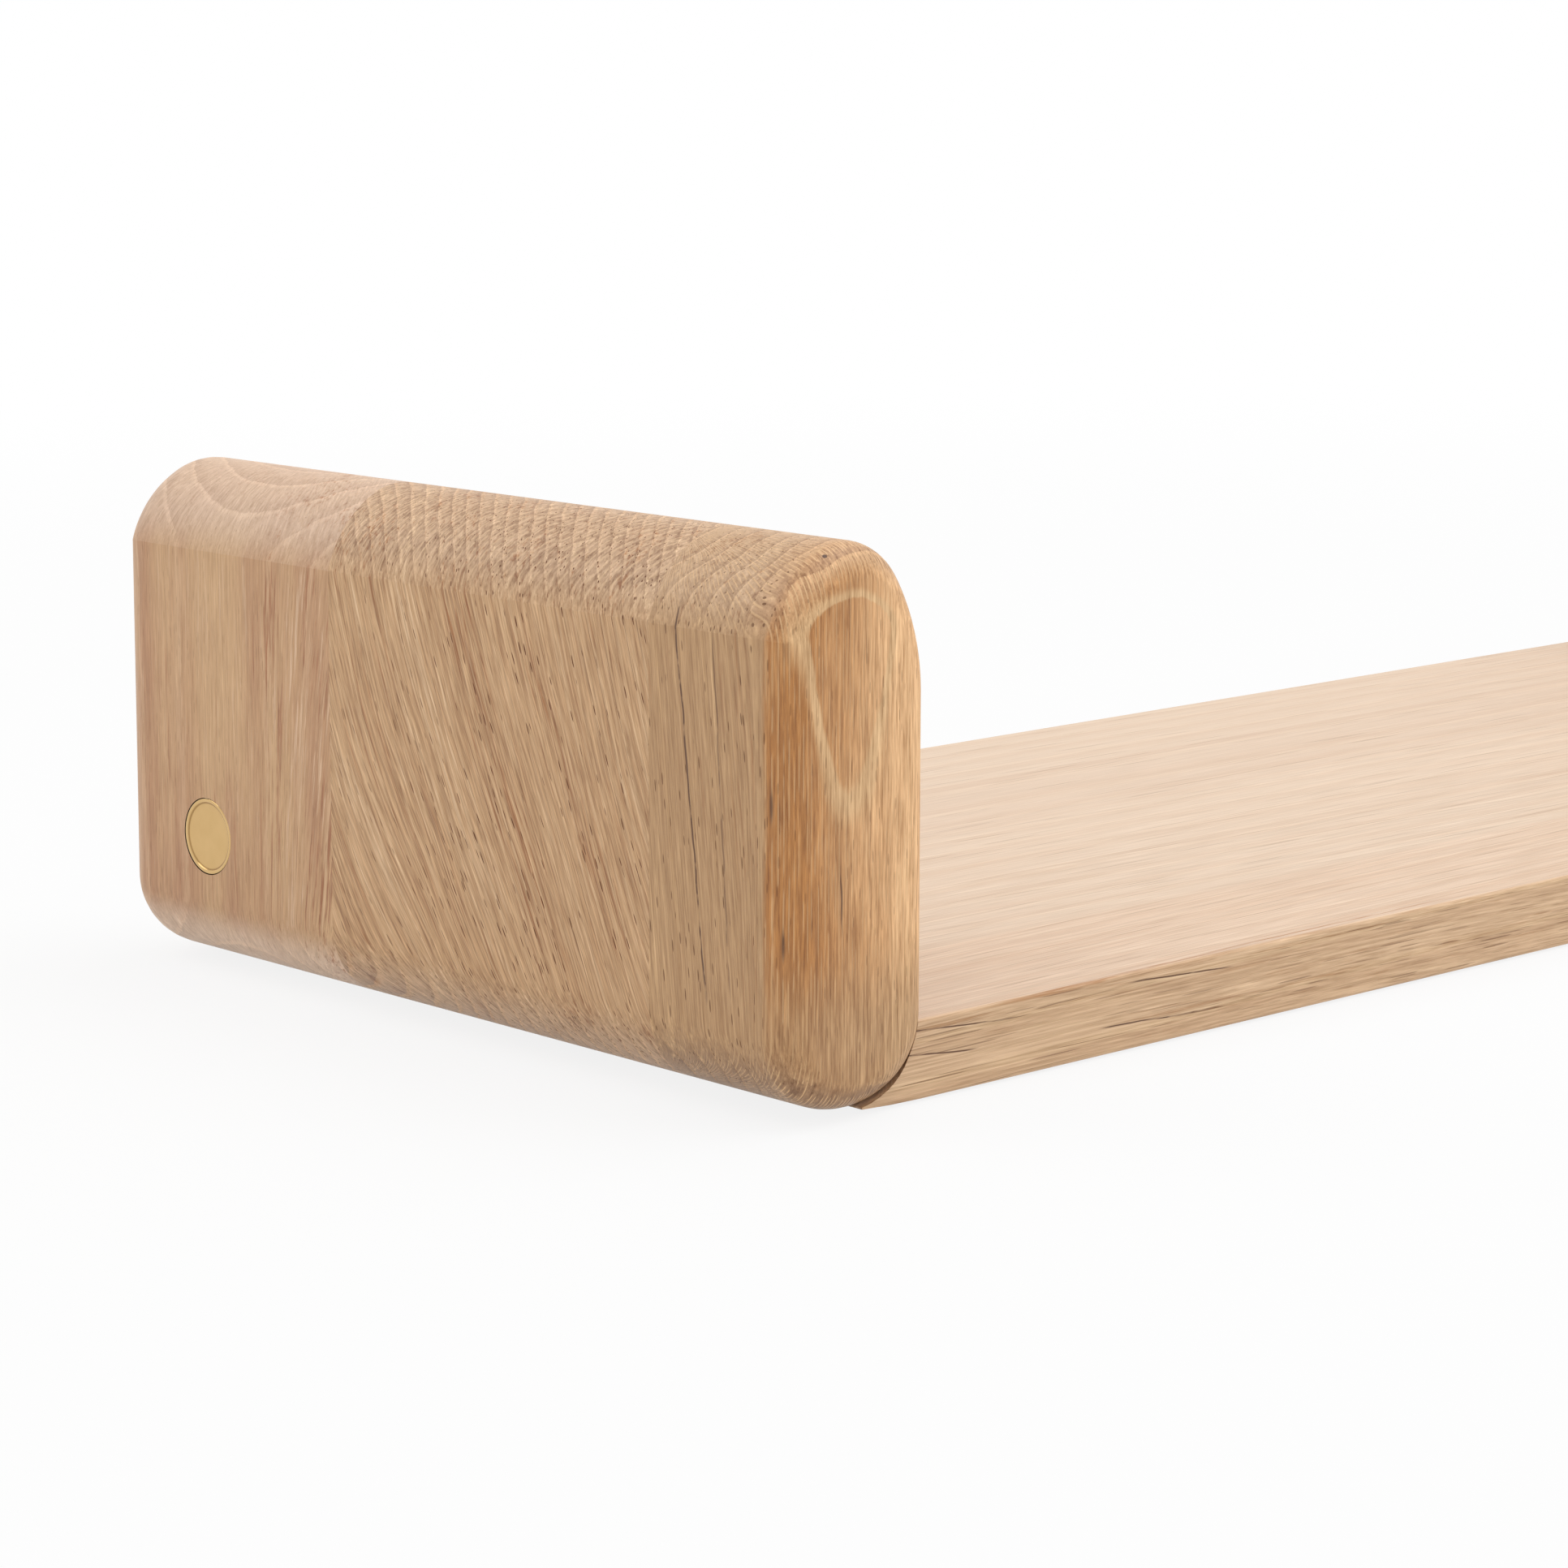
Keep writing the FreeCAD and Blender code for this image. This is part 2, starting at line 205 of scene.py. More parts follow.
    more = t.math("ADD", 1.0, end_grain)
    less = t.math("SUBTRACT", 1.0, t.math("MULTIPLY", end_grain, 0.6))
    darker = t.math("MULTIPLY", late, t.math("MULTIPLY", given["Rings"], 0.5))
    colour = t.blend(darker, given["Base"], given["Dark"])
    colour = t.blend(given["Heart share"], colour, given["Heart"])
    lengthwise = t.math("SUBTRACT", 1.0, end_grain)
    colour = t.blend(t.math("MULTIPLY", early, t.math("MULTIPLY", given["Rings"], lengthwise)), colour,
                     given["Pale"])
    # The end grain takes the End tone. The panel staves give it partly as the end grain's own colour and partly as
    # painted light and shade on the crown and foot.
    colour = t.blend(t.math("MULTIPLY", end_grain, 0.85), colour, given["End"])
    warm = t.math("ADD", t.math("MULTIPLY", streak, 1.4), t.math("MULTIPLY", broad, 0.7))
    colour = t.blend(t.math("MULTIPLY", t.rise(warm, -0.05, -0.42), given["Streaks"]), colour, given["Dark"])
    colour = t.blend(t.math("MULTIPLY", t.rise(warm, 0.05, 0.42), given["Streaks"]), colour, given["Pale"])
    years_tone = t.math("SUBTRACT", t.math("MULTIPLY", early, 0.5), t.math("MULTIPLY", late, 0.26))
    across_tone = t.math("ADD", t.math("MULTIPLY", years_tone, given["End rings"]),
                         t.math("MULTIPLY", fringe, given["Hairs"]))
    tone = t.math("ADD", t.math("MULTIPLY", hair, t.math("MULTIPLY", given["Hairs"], less)),
                  t.math("MULTIPLY", across_tone, end_grain))
    # Darker fibres are also the redder ones.
    tint_tone = t.vector("ADD", (1.0, 1.0, 1.0), t.vector("MULTIPLY", t.xyz(tone, tone, tone), (0.82, 1.0, 1.2)))
    colour = t.vector("MULTIPLY", colour, tint_tone)
    colour = t.blend(t.math("MULTIPLY", ray, t.math("MULTIPLY", given["Rays"], more)), colour, given["Pale"])
    dark = t.math("MULTIPLY", t.math("MAXIMUM", slit, t.math("MULTIPLY", line, 0.75)), given["Vessels"])
    colour = t.blend(dark, colour, given["Vessel"])
    rough = t.math("ADD", 0.46, t.math("ADD", t.math("MULTIPLY", early, 0.1), t.math("MULTIPLY", dark, 0.4)))
    height = t.math("SUBTRACT", t.math("ADD", hair, t.math("MULTIPLY", ray, 0.25)), t.math("MULTIPLY", dark, 0.2))
    return close_group(t, {"Colour": colour, "Roughness": rough, "Height": height})


oak = solid_oak()


def open_material(name, metallic=0.0):
    """A new material, with its tree, its shader and the object's own points in millimetres."""
    material = bpy.data.materials.new(name)
    material.use_nodes = True
    t = Tree(material.node_tree)
    shader = material.node_tree.nodes["Principled BSDF"]
    shader.inputs["Metallic"].default_value = metallic
    point = t.vector("MULTIPLY", t.add("ShaderNodeTexCoord", out=3), (1000.0, 1000.0, 1000.0))
    return material, t, shader, point


def close_material(t, shader, colour, rough, height, bump, relief):
    """Joins the shader to its colour and roughness and to a bump of the given strength and relief in metres."""
    normal = t.add("ShaderNodeBump", {"Strength": bump, "Distance": relief, "Height": height})
    for socket, value in (("Base Color", colour), ("Roughness", rough), ("Normal", normal)):
        t.tree.links.new(value, shader.inputs[socket])


def oak_material(name, place, settings, grain_axis=2, marks=None, mark_colour=None):
    """One stave's oak: place gives the point seen from the stave's pith, in millimetres.

    Where the surface turns towards the grain's axis, it shows end grain. Marks gives how much
    of the stave's own cracks and holes a point shows, and mark_colour their colour there.
    """
    material, t, shader, point = open_material(name)
    wood = t.add("ShaderNodeGroup", node_tree=oak).node
    sockets = dict(settings)
    sockets["Place"] = place(t, *t.split(point))
    normal = t.split(t.add("ShaderNodeTexCoord", out=1))
    along = t.math("ABSOLUTE", normal[grain_axis])
    sockets["End grain"] = t.rise(along, 0.12, 0.6)
    for socket, value in sockets.items():
        if callable(value):
            value = value(t, *t.split(point))
        if isinstance(value, bpy.types.NodeSocket):
            t.tree.links.new(value, wood.inputs[socket])
        else:
            wood.inputs[socket].default_value = value
    colour, height = wood.outputs["Colour"], wood.outputs["Height"]
    if marks:
        mark = marks(t, *t.split(point))
        tone = mark_colour(t, *t.split(point)) if mark_colour else paint(86, 52, 30)
        colour = t.blend(mark, colour, tone)
        height = t.math("SUBTRACT", height, t.math("MULTIPLY", mark, 0.4))
    close_material(t, shader, colour, wood.outputs["Roughness"], height, bump=0.4, relief=0.00025)
    return material


def front_place(t, x, y, z):
    """The front stave: its pith stands behind the seam, and its outer side's grain leans."""
    pith_x, pith_y = -283.0, -61.0
    lean = t.math("MULTIPLY", t.rise(y, -106.0, -98.0, 0.0, -0.11), t.rise(x, -290.0, -298.0))
    lean = t.math("MULTIPLY", lean, t.math("SUBTRACT", z, 66.0))
    return t.xyz(t.math("SUBTRACT", x, pith_x), t.math("ADD", t.math("SUBTRACT", y, pith_y), lean), z)


def front_bend(t, x, y, z):
    """Towards the front face the rings flatten and swell, so that one comes out there as a loop."""
    loop_x, loop_foot = -283.0, 65.0
    above = t.math("SUBTRACT", z, loop_foot)
    swell = t.math("MINIMUM", t.math("MULTIPLY", above, 0.05), t.math("MULTIPLY", above, 0.09))
    swell = t.math("ADD", swell, t.rise(z, 95.0, 112.0, 0.0, -4.4))
    beside = t.math("SUBTRACT", x, loop_x)
    wide = t.math("MULTIPLY", t.math("MULTIPLY", beside, beside), t.rise(z, 48.0, 76.0, 0.0, 0.003))
    bend = t.math("MULTIPLY", t.rise(y, -80.0, -106.0), t.math("SUBTRACT", wide, swell))
    flat = t.math("MULTIPLY", t.rise(y, -98.0, -104.0), t.rise(x, -286.0, -294.0, 0.0, 0.45))
    return t.math("ADD", bend, t.math("MULTIPLY", flat, t.math("ADD", y, 111.0)))


def front_rings(t, x, y, z):
    """The loop shows on the face only: not below it, nor on the stave's outer arris beside it."""
    shown = t.math("MAXIMUM", t.rise(x, -299.0, -296.5, 0.15, 1.0), t.rise(z, 96.0, 104.0))
    shown = t.math("MULTIPLY", shown, t.rise(z, 38.0, 54.0))
    return t.math("MULTIPLY", t.rise(y, -103.0, -108.0, 0.25, 0.9), shown)


def front_heart_share(t, x, y, z):
    """The heart's edge runs ragged along the front stave's outer arris."""
    ragged = t.math("SUBTRACT", t.noise(t.xyz(x, y, z), (3.0, 3.0, 24.0), detail=3.0), 0.5)
    return t.rise(t.math("ADD", y, t.math("MULTIPLY", ragged, 2.4)), -104.2, -105.8)


def front_end_and_painted_shade(t, x, y, z):
    """The front stave's end grain is tan and warmer at the front; at the foot it is painted darker, as painted shade.
    """
    crown = t.blend(t.rise(y, -95.0, -106.0), paint(194, 159, 124), paint(196, 152, 110))
    # Painted shade: darker towards the foot.
    return t.blend(t.rise(z, 30.0, 20.0), crown, paint(160, 123, 89))


def front_heart_and_painted_reflection(t, x, y, z):
    """The front stave's heart fades in clouds from orange at its outer side to tan at its inner side: the orange is
    the heart's own colour, the paling to tan towards the inner side is painted reflection of the white room, and the
    duller, darker tone towards the foot is painted shade.
    """
    cloud = t.math("SUBTRACT", t.noise(t.xyz(x, y, z), (9.0, 9.0, 24.0), detail=3.0), 0.5)
    fade = t.math("SUBTRACT", t.math("ADD", x, t.math("MULTIPLY", cloud, 20.0)), t.rise(z, 46.0, 16.0, 0.0, 5.0))
    # Painted reflection: paler and less orange towards the inner side, as the white room would show in the face.
    heart = t.blend(t.rise(fade, -297.0, -264.0), paint(182, 123, 66), paint(240, 191, 139))
    # Painted shade: duller and darker towards the foot.
    return t.blend(t.rise(z, 38.0, 16.0, 0.0, 0.6), heart, paint(176, 142, 104))


def crown_and_foot_painted_light(crown, foot):
    """End grain that has one tone on the panel's crown and another on its foot: partly the end grain's own tone and
    partly painted light, for how light falls on the crown and on the foot.
    """
    return lambda t, x, y, z: t.blend(t.rise(z, 80.0, 40.0), crown, foot)


def on_front(low, high):
    """A value that changes from the front stave's sides to its face."""
    return lambda t, x, y, z: t.rise(y, -103.0, -108.0, low, high)


def front_marks(t, x, y, z):
    """Two long dark vessel lines down the outer side, a crack and a pin hole in front, two flecks on the arris."""
    broken = t.noise(t.xyz(x, y, z), (2.0, 2.0, 5.0), detail=3.0)
    wave = t.math("MULTIPLY", t.math("SUBTRACT", t.noise(t.xyz(z), (14.0, 1.0, 1.0)), 0.5), 1.6)

    def line(across, centre, slope, width, low, high):
        off = t.math("ADD", t.math("SUBTRACT", across, centre), t.math("MULTIPLY", t.math("SUBTRACT", z, 60.0), slope))
        near = t.rise(t.math("ABSOLUTE", t.math("ADD", off, wave)), width * 0.4, width, 1.0, 0.0)
        span = t.math("MULTIPLY", t.rise(z, low, low + 8.0), t.rise(z, high, high - 8.0))
        return t.math("MULTIPLY", t.math("MULTIPLY", near, span), t.rise(broken, 0.36, 0.5, 0.15, 0.9))

    outer = t.math("MULTIPLY", t.math("ADD", line(y, -84.2, -0.12, 0.34, 20.0, 104.0),
                                      t.math("MULTIPLY", line(y, -93.0, -0.07, 0.3, 22.0, 98.0), 0.6)),
                   t.rise(x, -294.0, -297.0))
    front = t.math("MULTIPLY", line(x, -285.7, 0.03, 0.3, 35.0, 53.0), t.rise(y, -106.0, -108.5))
    hole = t.rise(t.vector("DISTANCE", t.xyz(x, y, z), (-286.4, -107.2, 110.4), out=1), 0.35, 0.65, 1.0, 0.0)
    for fleck in ((-299.5, -106.5, 63.5), (-298.3, -108.6, 36.9)):
        away = t.vector("MULTIPLY", t.vector("SUBTRACT", t.xyz(x, y, z), fleck), (1.0, 1.0, 0.12))
        hole = t.math("MAXIMUM", hole, t.rise(t.vector("LENGTH", away, out=1), 0.1, 0.6, 0.8, 0.0))
    return t.math("MINIMUM", t.math("ADD", t.math("ADD", outer, front), hole), 1.0)


def middle_place(t, x, y, z):
    """The middle stave: rings cut across its corner, whose grain leans more and more towards its foot."""
    fall = t.math("SUBTRACT", 95.0, z)
    lean = t.math("ADD", t.math("MULTIPLY", fall, 0.33), t.math("MULTIPLY", t.math("MULTIPLY", fall, fall), 0.0022))
    lean = t.math("MULTIPLY", lean, t.rise(y, 34.0, -6.0, 0.75, 1.0))
    lean = t.math("MULTIPLY", lean, t.rise(y, -20.0, -72.0, 1.0, 0.8))
    pith_x, pith_y = -415.0, 120.0
    return t.xyz(t.math("SUBTRACT", x, pith_x), t.math("SUBTRACT", t.math("ADD", y, lean), pith_y), z)


def rear_place(t, x, y, z):
    """The rear stave: flat-sawn, its pith inside the shelf."""
    lean = t.math("MULTIPLY", t.rise(y, 62.0, 36.0), 0.13)
    lean = t.math("MULTIPLY", t.math("SUBTRACT", 95.0, z), lean)
    pith_x, pith_y = -247.0, 67.0
    return t.xyz(t.math("SUBTRACT", x, pith_x), t.math("SUBTRACT", t.math("SUBTRACT", y, lean), pith_y), z)


def mirrored(place):
    """The right panel's oak is as the left one's, seen in a mirror."""
    return lambda t, x, y, z: place(t, t.math("MULTIPLY", x, -1.0), y, z)


def rear_streaks(t, x, y, z):
    """The rear stave is smooth but for darker streaks beside its seam, which its end grain hides."""
    on_face = t.rise(t.math("ABSOLUTE", t.math("SUBTRACT", z, 56.0)), 36.0, 42.0, 1.0, 0.35)
    return t.math("MULTIPLY", t.rise(y, 66.0, 40.0, 0.8, 3.0), on_face)


def rear_base(t, x, y, z):
    """The rear stave is clouded, pinkish beside pale yellow."""
    cloud = t.noise(t.xyz(x, y, z), (16.0, 16.0, 110.0), detail=3.0)
    return t.blend(t.rise(cloud, 0.36, 0.62), paint(188, 142, 105), paint(206, 166, 122))


def middle_vessels(t, x, y, z):
    """The middle stave's vessels show most in its front half."""
    return t.rise(y, 34.0, -34.0, 0.45, 1.0)


stave_looks = {
    "front": (front_place, {
        "Seed": 3.1, "Base": paint(184, 144, 102), "Pale": paint(226, 185, 136), "Ring width": 5.4,
        "Ring start": 49.9, "Ring band": 0.1, "Ragged": 0.04, "Wander": 0.15, "Ripple": 0.3,
        "Rings": front_rings, "Bend": front_bend, "Heart share": front_heart_share, "Heart": front_heart_and_painted_reflection,
        "Rays": on_front(0.3, 0.5), "Ray gap": 0.9, "Ray length": 9.0, "Streaks": on_front(0.9, 0.5),
        "Hairs": on_front(1.6, 2.4), "Vessels": on_front(0.7, 0.35), "End": front_end_and_painted_shade}),
    "middle": (middle_place, {
        "Seed": 8.4, "Base": paint(197, 156, 113), "Pale": paint(218, 182, 142), "Dark": paint(158, 107, 65),
        "Vessel": paint(96, 50, 22), "Ring width": 3.2, "Ring start": 3.0, "Ring band": 0.2, "Distance": 170.0,
        "Ray gap": 1.15, "Ray length": 9.0, "Wander": 3.0, "Rays": 0.32, "Rings": 0.35,
        "Vessels": middle_vessels, "Hairs": 2.4, "Streaks": 1.4, "Lines": 0.15,
        "End": crown_and_foot_painted_light(paint(186, 151, 119), paint(193, 157, 123))}),
    "rear": (rear_place, {
        "Seed": 5.7, "Base": rear_base, "Pale": paint(216, 179, 144), "Dark": paint(166, 112, 75),
        "Ring width": 6.5, "Ring start": 42.0, "Ring band": 0.12, "Wander": 3.0, "Vessels": 0.2, "Rays": 0.1,
        "Rings": 0.35, "End rings": 0.35, "Streaks": rear_streaks, "Hairs": 1.1,
        # Painted light: the rear stave's end grain is painted pale and bluish, a painted sheen from above on the crown
        # and a still paler foot for light from behind.
        "End": crown_and_foot_painted_light(paint(208, 177, 151), paint(229, 200, 173))}),
}

panel_thickness = 0.040
panel_foot = 0.0012
panel_top = 0.1127
panel_centre = 0.280
panel_front = -0.111
panel_rear = 0.111
front_seam = -0.072
rear_seam = 0.030
crease_corner = radians(11)


def panel_quarter(rise, crown, crease, inset, count=34):
    """Points of a quarter outline from the flat side to the crown: a side arc, then the crown arc."""
    reach = panel_thickness / 2
    lift = rise - crown
    side = (reach ** 2 + lift ** 2 - crown ** 2) / (2 * (reach * cos(crease) - lift * sin(crease) - crown))
    offset = reach - side * cos(crease)
    drop = side * sin(crease)
    sign = 1 if side > crown else -1
    turn = atan2(sign * (lift + drop), -sign * offset)
    start = acos(min(1.0, (reach - inset - offset) / (side - inset)))
    points = []
    for step in range(count):
        angle = start + (turn - start) * step / count
        points.append((offset + (side - inset) * cos(angle), -drop + (side - inset) * sin(angle)))
    for step in range(count + 1):
        angle = turn + (pi / 2 - turn) * step / count
        points.append(((crown - inset) * cos(angle), lift + (crown - inset) * sin(angle)))
    return points


def panel_outline(inset):
    """The panel's outline moved inwards by an inset, from the crown round the outer side and back."""
    outer_rise, inner_rise, foot_rise = 0.0174, 0.031, 0.0175
    crown, foot, crease = 0.0153, 0.024, radians(15.5)
    outer_top = [(-x, panel_top - outer_rise + z) for x, z in panel_quarter(outer_rise, crown, crease, inset)]
    inner_top = [(x, panel_top - inner_rise + z) for x, z in panel_quarter(inner_rise, crown, 0.0, inset)]
    foot_arc = panel_quarter(foot_rise, foot, 0.0, inset)
    outer_low = [(-x, panel_foot + foot_rise - z) for x, z in foot_arc]
    inner_low = [(x, panel_foot + foot_rise - z) for x, z in foot_arc]
    return outer_top[:0:-1] + outer_top[:1] + outer_low[:-1] + inner_low[:0:-1] + inner_low[:1] + inner_top[:-1]


def stave_tree():
    """Makes one stave from the panel's outline: rows along the depth, with an arris at each end."""
    number, whole = "NodeSocketFloat", "NodeSocketInt"
    t, given = open_group("GeometryNodeTree", "stave", {
        "Outline": ("NodeSocketGeometry", None), "Near": (number, 0.0), "Far": (number, 0.1),
        "Near arris": (number, 0.0), "Far arris": (number, 0.0), "Steps": (whole, 12),
        "Middle": (number, 0.28), "Low": (number, 0.0), "High": (number, 0.1),
        "Wood": ("NodeSocketMaterial", None)}, {"Stave": "NodeSocketGeometry"})
    points = t.add("GeometryNodeAttributeDomainSize", {0: given["Outline"]}, component="MESH")
    rows = t.math("ADD", t.math("MULTIPLY", given["Steps"], 2.0), 4.0)
    columns = t.math("ADD", points, 1.0)
    grid = t.add("GeometryNodeMeshGrid", {"Vertices X": columns, "Vertices Y": rows})
    index = t.add("GeometryNodeInputIndex")
    row = t.math("FLOORED_MODULO", index, rows)
    column = t.math("FLOORED_MODULO", t.math("FLOOR", t.math("DIVIDE", t.math("ADD", index, 0.5), rows)), points)

    def sampled(value):
        return t.add("GeometryNodeSampleIndex", {0: given["Outline"], 1: value, 2: column}, data_type="FLOAT_VECTOR")

    at = sampled(t.add("GeometryNodeInputPosition"))
    outwards = sampled(t.add("GeometryNodeInputNamedAttribute", {0: "outwards"}, data_type="FLOAT_VECTOR"))
    far_row = t.math("SUBTRACT", row, t.math("ADD", given["Steps"], 2.0))
    is_far = t.math("GREATER_THAN", far_row, -0.5)

    def turn_at(arris_row):
        """How far round its arris a row stands: a quarter turn after all the steps."""
        steps = t.math("MINIMUM", t.math("MAXIMUM", arris_row, 0.0), given["Steps"])
        return t.math("MULTIPLY", t.math("DIVIDE", steps, given["Steps"]), pi / 2)

    near_turn, far_turn = turn_at(t.math("SUBTRACT", row, 1.0)), turn_at(far_row)

    def choose(near, far):
        return t.add("ShaderNodeMix", {0: is_far, 2: near, 3: far})

    inset = choose(t.math("MULTIPLY", given["Near arris"], t.math("SUBTRACT", 1.0, t.math("SINE", near_turn))),
                   t.math("MULTIPLY", given["Far arris"], t.math("SUBTRACT", 1.0, t.math("COSINE", far_turn))))
    depth = choose(t.math("ADD", given["Near"], t.math("MULTIPLY", given["Near arris"],
                                                       t.math("SUBTRACT", 1.0, t.math("COSINE", near_turn)))),
                   t.math("SUBTRACT", given["Far"], t.math("MULTIPLY", given["Far arris"],
                                                           t.math("SUBTRACT", 1.0, t.math("SINE", far_turn)))))
    away = t.vector("SCALE", outwards)
    t.tree.links.new(inset, away.node.inputs["Scale"])
    x, _, z = t.split(t.vector("SUBTRACT", at, away))
    cap = t.math("MAXIMUM", t.math("LESS_THAN", row, 0.5),
                 t.math("GREATER_THAN", row, t.math("SUBTRACT", rows, 1.5)))
    x = t.add("ShaderNodeMix", {0: cap, 2: x, 3: given["Middle"]})
    z = t.add("ShaderNodeMix", {0: cap, 2: z, 3: t.math("MINIMUM", t.math("MAXIMUM", z, given["Low"]), given["High"])})
    body = t.add("GeometryNodeSetPosition", {0: grid, 2: t.xyz(x, depth, z)})
    body = t.add("GeometryNodeMergeByDistance", {0: body, 2: 1e-6})
    corner = t.add("GeometryNodeInputMeshEdgeAngle")
    body = t.add("GeometryNodeSetShadeSmooth", {0: body, 2: True})
    body = t.add("GeometryNodeSetShadeSmooth", {0: body, 1: t.math("GREATER_THAN", corner, crease_corner),
                                                    2: False}, domain="EDGE")
    body = t.add("GeometryNodeRealizeInstances", {0: body})
    return close_group(t, {"Stave": t.add("GeometryNodeSetMaterial", {0: body, 2: given["Wood"]})})


stave_nodes = stave_tree()


def made_by(tree, name, base, settings):
    """A plain mesh object made by a geometry tree from a base mesh, with the tree's named inputs set."""
    piece = bpy.data.objects.new(name, base)
    bpy.context.scene.collection.objects.link(piece)
    maker = piece.modifiers.new("maker", "NODES")
    maker.node_group = tree
    for socket in tree.interface.items_tree:
        if socket.item_type == "SOCKET" and socket.in_out == "INPUT" and socket.name in settings:
            maker[socket.identifier] = settings[socket.name]
    bpy.context.view_layer.update()
    finished = bpy.data.meshes.new_from_object(piece.evaluated_get(bpy.context.evaluated_depsgraph_get()))
    piece.modifiers.clear()
    piece.data = finished
    finished.name = name
    return piece


def outline_mesh(side, arris):
    """The outline as points, each with the direction in which it moves when the outline grows."""
    sign = {"left": 1, "right": -1}[side]
    here = panel_outline(0.0)
    moved = panel_outline(arris) if arris else here
    if sign < 0:
        here, moved = here[::-1], moved[::-1]
    mesh = bpy.data.meshes.new(f"{side}_outline")
    mesh.from_pydata([(sign * (x - panel_centre), 0, z) for x, z in here], [], [])
    outwards = mesh.attributes.new("outwards", "FLOAT_VECTOR", "POINT")
    for point, (x, z), (inner_x, inner_z) in zip(outwards.data, here, moved):
        if arris:
            point.vector = (sign * (x - inner_x) / arris, 0, (z - inner_z) / arris)
    return mesh


stave_spans = {"front": (panel_front, front_seam, 0.007, 0.0), "middle": (front_seam, rear_seam, 0.0, 0.0),
               "rear": (rear_seam, panel_rear, 0.0, 0.014)}


def cut_out(piece, low, high=None, radius=0.0, length=0.0):
    """Cuts a box, or a rod that starts at low and runs along X, out of a piece."""
    work = bmesh.new()
    if high is None:
        along_x = Matrix.Rotation(pi / 2, 4, "Y")
        bmesh.ops.create_cone(work, cap_ends=True, segments=64, radius1=radius, radius2=radius, depth=length,
                              matrix=Matrix.Translation(low) @ along_x @ Matrix.Translation((0, 0, length / 2)))
    else:
        size = Vector(high) - Vector(low)
        bmesh.ops.create_cube(work, size=1, matrix=Matrix.Translation((Vector(low) + Vector(high)) / 2)
                              @ Matrix.Diagonal((*size, 1)))
    mesh = bpy.data.meshes.new("cutter")
    work.to_mesh(mesh)
    work.free()
    mesh.shade_smooth()
    cutter = bpy.data.objects.new("cutter", mesh)
    bpy.context.scene.collection.objects.link(cutter)
    cut = piece.modifiers.new("cut", "BOOLEAN")
    cut.operation, cut.solver, cut.object = "DIFFERENCE", "EXACT", cutter
    bpy.context.view_layer.update()
    finished = bpy.data.meshes.new_from_object(piece.evaluated_get(bpy.context.evaluated_depsgraph_get()))
    piece.modifiers.clear()
    bpy.data.objects.remove(cutter)
    piece.data = finished


def sharpen(mesh, angle):
    """Smooth faces, with every edge sharper than an angle kept sharp."""
    work = bmesh.new()
    work.from_mesh(mesh)
    for face in work.faces:
        face.smooth = True
    for edge in work.edges:
        edge.smooth = len(edge.link_faces) == 2 and edge.calc_face_angle() < angle
    work.to_mesh(mesh)
    work.free()


# What is let into the rear staves: a seat for each hanger plate over a deeper pocket, and the disc's recess.
seat_reach, seat_floor, seat_foot, seat_top = 0.0073, 0.109, 0.0319, 0.0865
pocket_reach, pocket_floor, pocket_foot, pocket_top = 0.00575, 0.100, 0.0462, 0.0712
disc_y, disc_z = 0.075, 0.0317
for side, sign in (("left", -1), ("right", 1)):
    for place, (near, far, near_arris, far_arris) in stave_spans.items():
        node = f"{side}_{place}_stave"
        grain, settings = stave_looks[place]
        if side == "right":
            grain = mirrored(grain)
            settings = {name: mirrored(value) if callable(value) else value for name, value in settings.items()}
            settings["Seed"] += 20.0
        marks = front_marks if node == "left_front_stave" else None
        wood = oak_material(f"oak_{node}", grain, settings, marks=marks)
        piece = made_by(stave_nodes, f"{node}_wood", outline_mesh(side, near_arris + far_arris), {
            "Near": near, "Far": far, "Near arris": near_arris, "Far arris": far_arris, "Steps": 12,
            "Middle": sign * panel_centre, "Low": panel_foot + 0.02, "High": panel_top - 0.02, "Wood": wood})
        if place == "rear":
            centre = sign * panel_centre
            cut_out(piece, (centre - seat_reach, seat_floor, seat_foot), (centre + seat_reach, 0.115, seat_top))
            cut_out(piece, (centre - pocket_reach, pocket_floor, pocket_foot),
                    (centre + pocket_reach, seat_floor + 0.0002, pocket_top))
            if side == "left":
                cut_out(piece, (-0.304, disc_y, disc_z), radius=0.0086, length=0.0056)
            sharpen(piece.data, crease_corner)
        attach(piece, "root")
        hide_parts(node)


# ---- The board's staves ----
# The board is five lengthwise oak staves glued edge to edge, planed to 16 mm, its
# long arrises just eased and its ends scribed over the panels' lower rounding.

def merged_copy(node, name, sharp=radians(35), shape=None):
    """A copy of a CAD node with its doubles merged and smooth shading up to sharp corners."""
    mesh = bpy.data.meshes.new(name)
    work = bmesh.new()
    work.from_mesh(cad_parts[node].data)
    bmesh.ops.remove_doubles(work, verts=work.verts, dist=1e-6)
    if shape:
        shape(work)
    work.to_mesh(mesh)
    work.free()
    sharpen(mesh, sharp)
    piece = bpy.data.objects.new(name, mesh)
    bpy.context.scene.collection.objects.link(piece)
    even = piece.modifiers.new("even", "WEIGHTED_NORMAL")
    even.keep_sharp = True
    finished = bpy.data.meshes.new_from_object(piece.evaluated_get(bpy.context.evaluated_depsgraph_get()))
    piece.modifiers.clear()
    piece.data = finished
    return piece


